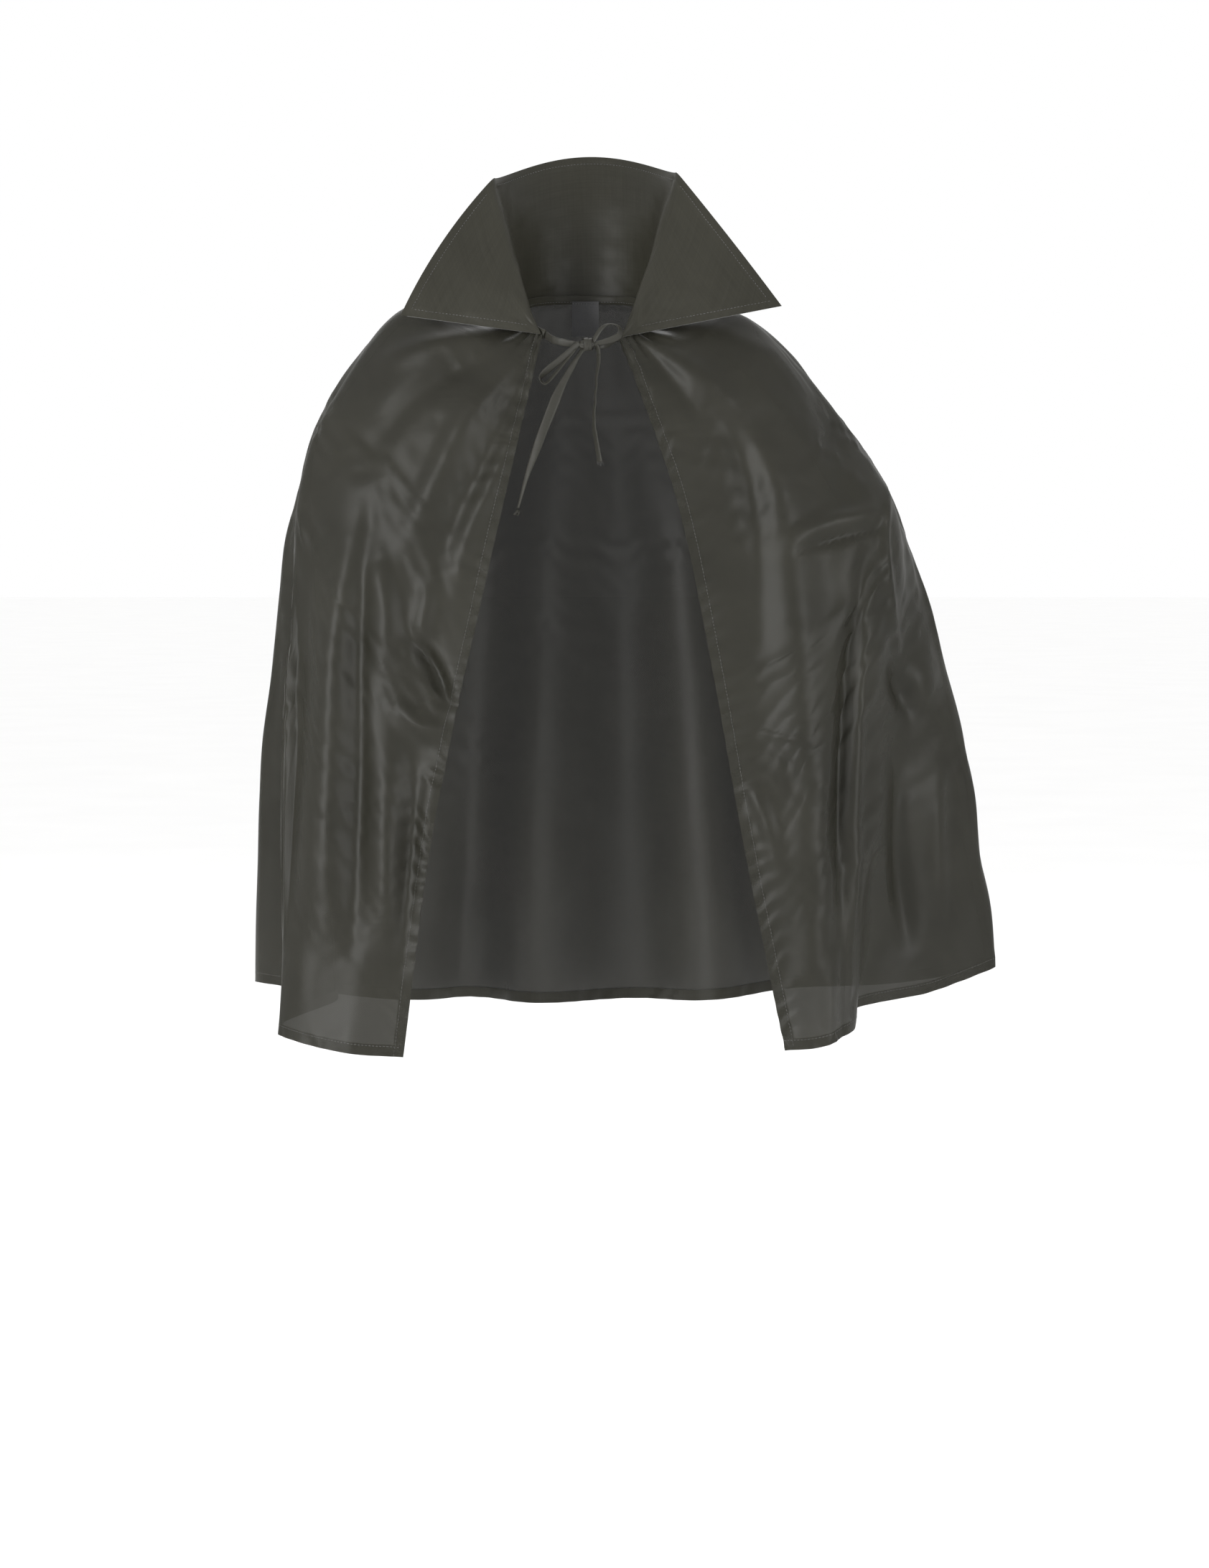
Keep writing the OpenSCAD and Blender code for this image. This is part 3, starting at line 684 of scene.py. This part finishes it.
def add_end_knot():
    """The small overhand knot at the end of the left tail."""
    centre = np.array(LEFT_TAIL[-1]) + np.array([-1, -0.3, -4.2]) * MM
    turn = np.linspace(0, 2 * np.pi * 1.35, 48)
    reach = 1.7 * MM + 0.35 * MM * np.cos(1.5 * turn)
    line = centre + np.stack([reach * np.cos(turn), reach * np.sin(turn) * 0.8,
                              1.3 * MM * np.sin(1.5 * turn) + 0.2 * MM], -1)
    knot = tape_along("tail_end_wrap", line, 0.5 * turn, 2.6 * MM, 1.5 * MM, (0, 0, 1))
    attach(knot, "left_tail")
    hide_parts("tail_end_knot")
    return knot


def add_frays():
    """Loose threads at the cut end of the right tail."""
    rng = np.random.default_rng(21)
    end = np.array(RIGHT_TAIL[-1])
    strands = []
    for offset in np.linspace(-2.6, 2.6, 9) * MM:
        lean = rng.uniform(-0.5, 0.5, 3)
        drop = rng.uniform(2.0, 4.5) * MM
        t = np.linspace(0, 1, 6)[:, None]
        strands.append(end + np.array([offset, 0, 0.5 * MM]) + t * drop * np.array([lean[0], lean[1], -1])
                       + t**2 * drop * 0.3 * lean)
    parts = [tube("fray", line, np.array([[1.0, 0, 0]]), 0.22 * MM, 0.22 * MM, THREAD, 5)
             for line in strands]
    return joined("right_tail_frays", parts)


def joined(name, parts):
    with bpy.context.temp_override(active_object=parts[0], selected_editable_objects=parts):
        bpy.ops.object.join()
    parts[0].name = name
    return parts[0]


def add_tails():
    knot = add_end_knot()
    add_tail("left_tail", LEFT_TAIL, (40, 15, 5, -8, 0, 10, 20, 30, 40),
             (0.68, 0.78, 0.95, 1.2, 1.22, 1.1, 0.85, 0.55, 0.3))
    frays = add_frays()
    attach(frays, "right_tail")
    add_tail("right_tail", RIGHT_TAIL, (55, 70, 78, 70, 62, 55, 50),
             (0.8, 0.95, 0.9, 0.9, 0.95, 0.95, 0.9))


add_tails()


# ---------- body cloth pieces ----------
def cut_plan(p):
    """Where each point lies on the flat cut, in metres."""
    across = arc(p, 1)
    middle = across[:, across.shape[1] // 2][:, None]
    return np.stack([across - middle, arc(p, 0)], -1)


def hem_heights(distances):
    """Thickness of the turned hem at distances in from the edge."""
    rise = np.sqrt(1 - (1 - np.minimum(distances / (1.2 * MM), 1)) ** 2)
    pinch = 0.35 * bump(distances, HEM_W - 1.5 * MM, 0.9 * MM)
    return (0.15 + 0.6 * rise - pinch) * MM


HEM_STEPS = np.array([0, 0.4, 1.2, 3, 5.5, 7.5, 8.5, 9.3, 10]) * MM


def hem_band(name, p, n, side):
    line, normal = strip(p, n, side, HEM_STEPS)
    height = hem_heights(HEM_STEPS)[:, None]
    return shell(name, line, normal, -CLOTH_T / 2 - height, -CLOTH_T / 2 - 0.03 * MM, DOUBLE_CLOTH,
                 cut_plan(line))


def hem_run(p, n, side):
    """A line of hem stitching on the outer face."""
    line, normal = strip(p, n, side, [HEM_W - 1.5 * MM])
    return line[0] + normal[0] * CLOTH_T / 2, normal[0]


def add_cloth_piece(body, p, n, uv, sides, nodes, thread_node, start_z=None):
    """One part of the body cloth with its hems and hem stitching; the back is put on its body, a front only
    has its transform baked in.
    """
    stem = {"cape": "back"}.get(body, body)
    cloth = shell(stem + "_cloth", p, n, -CLOTH_T / 2, CLOTH_T / 2, BODY_CLOTH, uv)
    bands = [hem_band(f"{stem}_hem_{side}", p, n, side) for side in sides]
    thread = stitches(stem + "_hem_stitches", [hem_run(p, n, side) for side in sides],
                      3.1 * MM, 2.2 * MM, 0.45 * MM, THREAD)
    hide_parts(*nodes)
    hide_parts(thread_node)
    for piece in [cloth, thread, *bands]:
        if start_z is None:
            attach(piece, body)
        else:
            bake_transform(piece)
    return cloth, bands, thread


def add_body_cloth():
    p = cape_surface()
    n = grid_normals(p)
    uv = cut_plan(p)
    left, right = LEFT_FOLD * FINE_COLS, RIGHT_FOLD * FINE_COLS
    parts = [
        ("cape", slice(left, right + 1), ["bottom"],
         ["back_panel", "left_side_panel", "right_side_panel"], "back_hem_thread", None),
        ("left_front", slice(0, left + 1), ["first", "bottom"],
         ["left_front_yoke", "left_front"], "left_front_thread", LEFT_START_Z),
        ("right_front", slice(right, None), ["last", "bottom"],
         ["right_front_yoke", "right_front"], "right_front_thread", RIGHT_START_Z),
    ]
    for body, cols, sides, nodes, thread_node, start_z in parts:
        part, part_n = p[:, cols], n[:, cols]
        cloth, bands, thread = add_cloth_piece(body, part, part_n, uv[:, cols], sides, nodes,
                                               thread_node, start_z)


add_body_cloth()


# ---------- collar ----------
def collar_surface(s, v):
    foot = neck_at(NECK_LEFT_END + 2 + (356 - NECK_RIGHT_END - NECK_LEFT_END) * s, 0.4 * MM, 0.5 * MM)
    top_angle = np.radians(90 + 180 * s)
    sine, cosine = np.sin(top_angle), np.cos(top_angle)
    top = np.stack([-COLLAR_TOP_HALF_W * sine, 5 * MM - (COLLAR_TOP_D - 5 * MM) * cosine,
                    COLLAR_SIDE_Z + COLLAR_LEAN * (1 - sine) / 2 + COLLAR_BACK_RISE * cosine**2], -1)
    hollow = COLLAR_HOLLOW * 4 * v * (1 - v) * np.sin(np.pi * s)
    out = np.stack([sine, cosine, 0 * s], -1)
    return foot + (top - foot) * v[..., None] + out * hollow[..., None]


def off_line(point, a, b):
    d = unit(b - a)
    return (point - a) - d * ((point - a) @ d)


def wing_surface(foot, ear, tip, bow, a, r):
    """The wing fans out from the foot: a runs from the point to the roll line, r up from the foot."""
    pull = unit(off_line(foot, tip, ear)) * -bow
    edge = tip + (ear - tip) * a[..., None] + pull * (4 * a * (1 - a))[..., None]
    face = unit(np.cross(ear - foot, tip - foot))
    face = face * -np.sign(face[1])
    belly = 4.5 * MM * np.sin(np.pi * np.clip(a, 0, 1)) * np.sin(np.pi * r) ** 2
    return foot + (edge - foot) * r[..., None] + face * belly[..., None]


def roll_over(p, col, radius):
    """Rounds the fold at one column of a grid into a soft roll."""
    for row in p:
        s = arc(row[None], 1)[0]
        place = s - s[col]
        reach = min(radius, 0.4 * -place.min() + 0.2 * MM, 0.4 * place.max())
        near = np.abs(place) < reach
        ends = [np.array([np.interp(side * reach, place, row[:, k]) for k in range(3)])
                for side in (-1, 1)]
        t = ((place[near] + reach) / (2 * reach))[:, None]
        row[near] = ends[0] * (1 - t) ** 2 + 2 * row[col] * t * (1 - t) + ends[1] * t**2
    return p


def graded(*runs):
    """Values in joined runs of (start, end, cells)."""
    values = [np.linspace(a, b, n, endpoint=False) for a, b, n in runs]
    return np.concatenate(values + [[runs[-1][1]]])


ROW_GRADES = graded((1, 0.93, 12), (0.93, 0.10, 42), (0.10, 0.003, 6))
WING_GRADES = graded((0, 0.09, 14), (0.09, 0.92, 38), (0.92, 1, 10))
BACK_GRADES = graded((0, 0.05, 8), (0.05, 0.95, 84), (0.95, 1, 8))


def collar_grid():
    """The whole collar as one grid, from the left wing's lower edge to the right wing's."""
    wing_a, wing_r = np.meshgrid(WING_GRADES, ROW_GRADES)
    back_s, back_v = np.meshgrid(BACK_GRADES, ROW_GRADES)
    back = collar_surface(back_s, back_v)
    ends = [collar_surface(np.array([s, s]), np.array([0.0, 1.0])) for s in (0.0, 1.0)]
    left = wing_surface(*ends[0], LEFT_TIP, LEFT_WING_BOW, wing_a, wing_r)
    right = wing_surface(*ends[1], RIGHT_TIP, RIGHT_WING_BOW, wing_a, wing_r)[:, ::-1]
    p = np.concatenate([left[:, :-1], back, right[:, 1:]], 1)
    first, last = len(WING_GRADES) - 1, len(WING_GRADES) - 1 + len(BACK_GRADES) - 1
    roll_over(p, first, 9 * MM)
    roll_over(p, last, 9 * MM)
    return p, first, last, ends


def edge_distance(p):
    """Distance in from the collar's free edge: its top and both wing ends."""
    across, down = arc(p, 1), arc(p, 0)
    return np.minimum(np.minimum(across, across[:, -1:] - across), down)


def collar_relief(p):
    """Soft unevenness of the cloth over the interfacing."""
    n = grid_normals(p)
    waves = 0.0011 * fine_noise(p.shape[:2], (5, 16), 31) + 0.0004 * fine_noise(p.shape[:2], (16, 44), 8)
    return p + n * (waves * smooth_step(edge_distance(p) / 0.012))[..., None]


def half_thickness(d):
    """Half the thickness of the made-up collar at distances in from its free edge."""
    rise = np.sqrt(1 - (1 - np.minimum(d / (1.3 * MM), 1)) ** 2)
    seam_ridge = 0.85 - 0.20 * smooth_step((d - TOPSTITCH_IN) / (3 * MM))
    pinch = 0.42 * bump(d, TOPSTITCH_IN, 1.1 * MM)
    return (0.04 + rise * (seam_ridge - pinch)) * MM


def collar_layers(name, p, n, thick, uv):
    """The top collar, the under collar and the interfacing between them."""
    inner = np.maximum(thick - 0.28 * MM, 0.01 * MM)
    top = shell(name + "_top_cloth", p, n, -thick, -inner, DOUBLE_CLOTH, uv)
    under = shell(name + "_under_cloth", p, n, inner, thick, DOUBLE_CLOTH, uv)
    cut = slice(8, None)
    core = shell(name + "_core_cloth", p[cut], n[cut], -0.13 * MM, 0.13 * MM, CORE, uv[cut])
    for piece, layer in ((top, "top"), (under, "under"), (core, "interfacing")):
        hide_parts(f"{name}_{layer}")
    return [top, under, core]


def collar_stitches(name, p, n, sides):
    runs = []
    for side in sides:
        line, normal = strip(p, n, side, [TOPSTITCH_IN])
        keep = slice(7, -7)
        runs.append((line[0][keep] - normal[0][keep] * 0.55 * MM, -normal[0][keep]))
    return stitches(name, runs, 3.0 * MM, 2.2 * MM, 0.5 * MM, THREAD)


def wing_blend(pieces):
    """Bakes the transform into each piece of a wing."""
    for piece in pieces:
        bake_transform(piece)


def add_collar():
    p, first, last, ends = collar_grid()
    p = collar_relief(p)
    n = grid_normals(p)
    uv = cut_plan(p)
    thick = half_thickness(edge_distance(p))
    plans = [("collar_back", slice(first, last + 1), ["top"]),
             ("left_wing", slice(0, first + 1), ["top", "first"]),
             ("right_wing", slice(last, None), ["top", "last"])]
    for name, cols, sides in plans:
        part = (p[:, cols], n[:, cols])
        pieces = collar_layers(name, *part, thick[:, cols], uv[:, cols])
        thread = collar_stitches(name + "_stitches", *part, sides)
        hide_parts(name + "_thread")
        pieces.append(thread)
        if name == "collar_back":
            for piece in pieces:
                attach(piece, "cape")
        else:
            wing_blend(pieces)


add_collar()


# ---------- neck binding ----------
def on_binding(first, last, steps, out=-2.5 * MM, up=0.0):
    return neck_at(np.linspace(first, last, steps), out, up)


def add_binding():
    line = on_binding(NECK_LEFT_END, 360 - NECK_RIGHT_END, 260)
    rng = np.random.default_rng(4)
    ripple = spline(rng.uniform(-1, 1, 60), np.linspace(0, 59, len(line)))
    side = np.tile([0.0, 0.0, 1.0], (len(line), 1))
    widths = BINDING_W * (1 + 0.04 * ripple)
    heights = BINDING_T * (1 + 0.12 * ripple)
    binding = tube("neck_binding_tube", line, side, widths, heights, DOUBLE_CLOTH, 16)
    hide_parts("neck_binding")
    ends = (NECK_LEFT_END + 3, 357 - NECK_RIGHT_END, 260)
    inside = on_binding(*ends, -3.75 * MM, -1.5 * MM)
    outside = on_binding(*ends, -1.25 * MM, -1.5 * MM)
    centre = on_binding(*ends, -20 * MM)
    runs = [(inside, unit(centre - inside)), (outside, unit(outside - centre))]
    seam = stitches("neck_seam_stitches", runs, 2.8 * MM, 2.0 * MM, 0.45 * MM, THREAD)
    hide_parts("neck_seam_thread")
    for piece in (binding, seam):
        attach(piece, "cape")


def add_bar_tacks():
    """Close zigzag stitches that hold the tie at both ends of the neckline."""
    parts = []
    for angle in (NECK_LEFT_END + 1.2, 358.8 - NECK_RIGHT_END):
        steps = 27
        swing = 0.9 * (np.arange(steps) % 2 * 2 - 1)
        line = neck_at(angle + swing, -1.1 * MM, np.linspace(-2.6, 2.6, steps) * MM)
        parts.append(tube("tack", line, np.tile([0.0, 0, 1], (steps, 1)), 0.4 * MM, 0.4 * MM, THREAD, 6))
    tacks = joined("bar_tack_stitches", parts)
    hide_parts("bar_tacks")
    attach(tacks, "cape")


def add_label():
    """A small blank label, hung by its top edge inside the neck."""
    u, v = np.meshgrid(np.linspace(-1, 1, 17), np.linspace(0, 1, 22))
    back = neck_at(180, -2.5 * MM)
    x = 12 * MM * u
    y = back[1] - 2.1 * MM - 1.6 * MM * v - 1.3 * MM * u**2 - 0.9 * MM * np.sin(4 * v) * u
    z = back[2] - 1.5 * MM - 31 * MM * v
    p = np.stack([x, y, z], -1)
    n = grid_normals(p)
    label = shell("care_label_blank", p, n, -0.12 * MM, 0.12 * MM, LABEL_DARK_AND_SHADED, cut_plan(p))
    line, normal = strip(p, n, "top", [2 * MM])
    thread = stitches("label_stitches", [(line[0] - normal[0] * 0.12 * MM, -normal[0])], 2.4 * MM,
                      1.7 * MM, 0.4 * MM, THREAD)
    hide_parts("care_label")
    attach(label, "cape")
    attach(thread, "cape")


add_binding()
add_bar_tacks()
add_label()


# ---------- tie ----------
def add_tape(name, points, side, widths, node, turn=(0, 0)):
    """A stretch of the flat self-fabric tie, on the cape itself."""
    line = fine_line(points, 72)
    t = np.linspace(0, 1, len(line))
    width = TIE_W * np.interp(t, np.linspace(0, 1, len(widths)), widths)
    ahead = unit(np.gradient(line, axis=0))
    across = unit(side - ahead * (ahead @ np.array(side))[:, None])
    angle = np.radians(np.interp(t, np.linspace(0, 1, len(turn)), turn))[:, None]
    across = across * np.cos(angle) + np.cross(ahead, across) * np.sin(angle)
    height = TIE_T * (0.85 + 0.3 * np.sin(t * 17) ** 2)
    tape = tube(name, line, across, width * (1 + 0.05 * np.sin(t * 26)), height, TIE_CLOTH, 14)
    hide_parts(node)
    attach(tape, "cape")


def add_loops_and_strands():
    left_end = tuple(neck_at(NECK_LEFT_END - 1, -2.5 * MM))
    right_end = tuple(neck_at(361 - NECK_RIGHT_END, -2.5 * MM))
    add_tape("left_strand_tape", [left_end, (-0.026, -0.059, -0.020), (-0.014, -0.065, -0.023),
                                  (-0.005, -0.067, -0.024)],
             (0, 0, 1), (1, 0.95, 0.85, 0.7), "left_strand", (0, 10, 25))
    add_tape("right_strand_tape", [(0.008, -0.067, -0.024), (0.017, -0.065, -0.024), right_end],
             (0, 0, 1), (0.7, 0.9, 1), "right_strand", (-20, -5, 0))
    add_tape("upper_loop_tape", [(0.007, -0.070, -0.022), (0.014, -0.072, -0.011), (0.021, -0.073, -0.007),
                                 (0.029, -0.072, -0.009), (0.030, -0.071, -0.016), (0.023, -0.071, -0.020),
                                 (0.008, -0.069, -0.024)],
             (0, -1, 0.2), (0.6, 0.85, 0.95, 1, 0.95, 0.8, 0.6), "upper_loop",
             (60, 48, 15, 20, 50, 62, 60))
    add_tape("lower_loop_tape", [(-0.004, -0.070, -0.0225), (-0.020, -0.074, -0.0365),
                                 (-0.035, -0.076, -0.049), (-0.038, -0.077, -0.054),
                                 (-0.0335, -0.077, -0.0575), (-0.0255, -0.0755, -0.0495),
                                 (-0.008, -0.071, -0.028)],
             (0, -1, 0.1), (0.6, 0.9, 1, 1, 0.9, 0.72, 0.5), "lower_loop",
             (70, 66, 40, 8, 28, 40, 45))


def knot_core(centre):
    """The pleated lump that the strands and loops come out of."""
    theta, phi = np.meshgrid(np.linspace(0, 2 * np.pi, 73), np.linspace(0.02, np.pi - 0.02, 34))
    pleats = 1 + 0.07 * np.sin(7 * theta + 1.5 * np.cos(2 * phi)) * np.sin(phi)
    x = 7.3 * MM * np.cos(phi)
    y = 4.1 * MM * np.sin(phi) ** 0.75 * np.cos(theta) * pleats
    z = 4.4 * MM * np.sin(phi) ** 0.75 * np.sin(theta) * pleats
    p = np.array(centre) + np.stack([x, y - 2 * MM, z + 0.08 * x], -1)
    rows, cols = p.shape[0], p.shape[1] - 1
    verts = p[:, :-1].reshape(-1, 3)
    faces = [(r * cols + c, r * cols + (c + 1) % cols, (r + 1) * cols + (c + 1) % cols, (r + 1) * cols + c)
             for r in range(rows - 1) for c in range(cols)]
    faces += [tuple(range(cols))[::-1], tuple((rows - 1) * cols + c for c in range(cols))]
    uv = np.stack([theta[:, :-1] * 4 * MM, phi[:, :-1] * 5 * MM], -1).reshape(-1, 2)
    return new_object("knot_core", verts, faces, TIE_CLOTH, None, uv)


def add_knot():
    centre = np.array([2, -66, -24]) * MM
    parts = [knot_core(centre)]
    turn = np.linspace(-0.15, 2 * np.pi + 0.15, 60)
    for shift, lean, size in ((-1.2 * MM, 0.35, 1.0), (2.6 * MM, -0.25, 0.94)):
        ring = np.stack([shift + lean * 3 * MM * np.cos(turn), -5.0 * MM * size * np.cos(turn) - 2 * MM,
                         5.2 * MM * size * np.sin(turn)], -1)
        parts.append(tape_along("wrap", centre + ring, 0.12 * np.sin(3 * turn), 4.6 * MM, 1.2 * MM))
    for root, angle, size in ((LEFT_ROOT, 0.7, 0.75), (RIGHT_ROOT, 0.95, 0.8)):
        line = fine_line(root, 16)
        parts.append(tape_along("root", line, np.full(16, angle), TIE_W * size, TIE_T))
    knot = joined("bow_knot", parts)
    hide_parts("tie_knot")
    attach(knot, "cape")


add_loops_and_strands()
add_knot()


# ---------- studio ----------
def add_floor():
    """A plain pale floor that reaches past the camera in every view."""
    x, y = np.meshgrid(np.linspace(-40, 40, 17), np.linspace(-40, 40, 17))
    p = np.stack([x, y, np.full_like(x, FLOOR_Z)], -1)
    index = np.arange(p.shape[0] * p.shape[1]).reshape(p.shape[:2])
    faces = np.stack([index[:-1, :-1], index[:-1, 1:], index[1:, 1:], index[1:, :-1]], -1).reshape(-1, 4)
    new_object("studio_floor", p.reshape(-1, 3), faces, PAPER)


def add_light(name, place, target, size, power):
    data = bpy.data.lights.new(name, "AREA")
    data.shape = "RECTANGLE"
    data.size, data.size_y = size
    data.energy = power
    light = bpy.data.objects.new(name, data)
    light.location = place
    light.rotation_euler = (Vector(target) - Vector(place)).to_track_quat("-Z", "Y").to_euler()
    light.visible_camera = False
    bpy.context.scene.collection.objects.link(light)


def add_lights():
    world = bpy.data.worlds.new("studio")
    world.use_nodes = True
    world.node_tree.nodes["Background"].inputs["Color"].default_value = (1, 1, 1, 1)
    world.node_tree.nodes["Background"].inputs["Strength"].default_value = 1.0
    bpy.context.scene.world = world
    bpy.context.scene.view_settings.view_transform = "Standard"
    aim = (0.0, 0.0, -0.25)
    add_light("key_left", (-2.1, -2.3, 0.2), aim, (1.4, 1.4), 88)
    add_light("key_right", (2.1, -2.3, 0.1), aim, (0.9, 1.2), 45)
    add_light("top_back", (0.0, 1.9, 2.4), aim, (1.6, 1.0), 35)


add_floor()
add_lights()
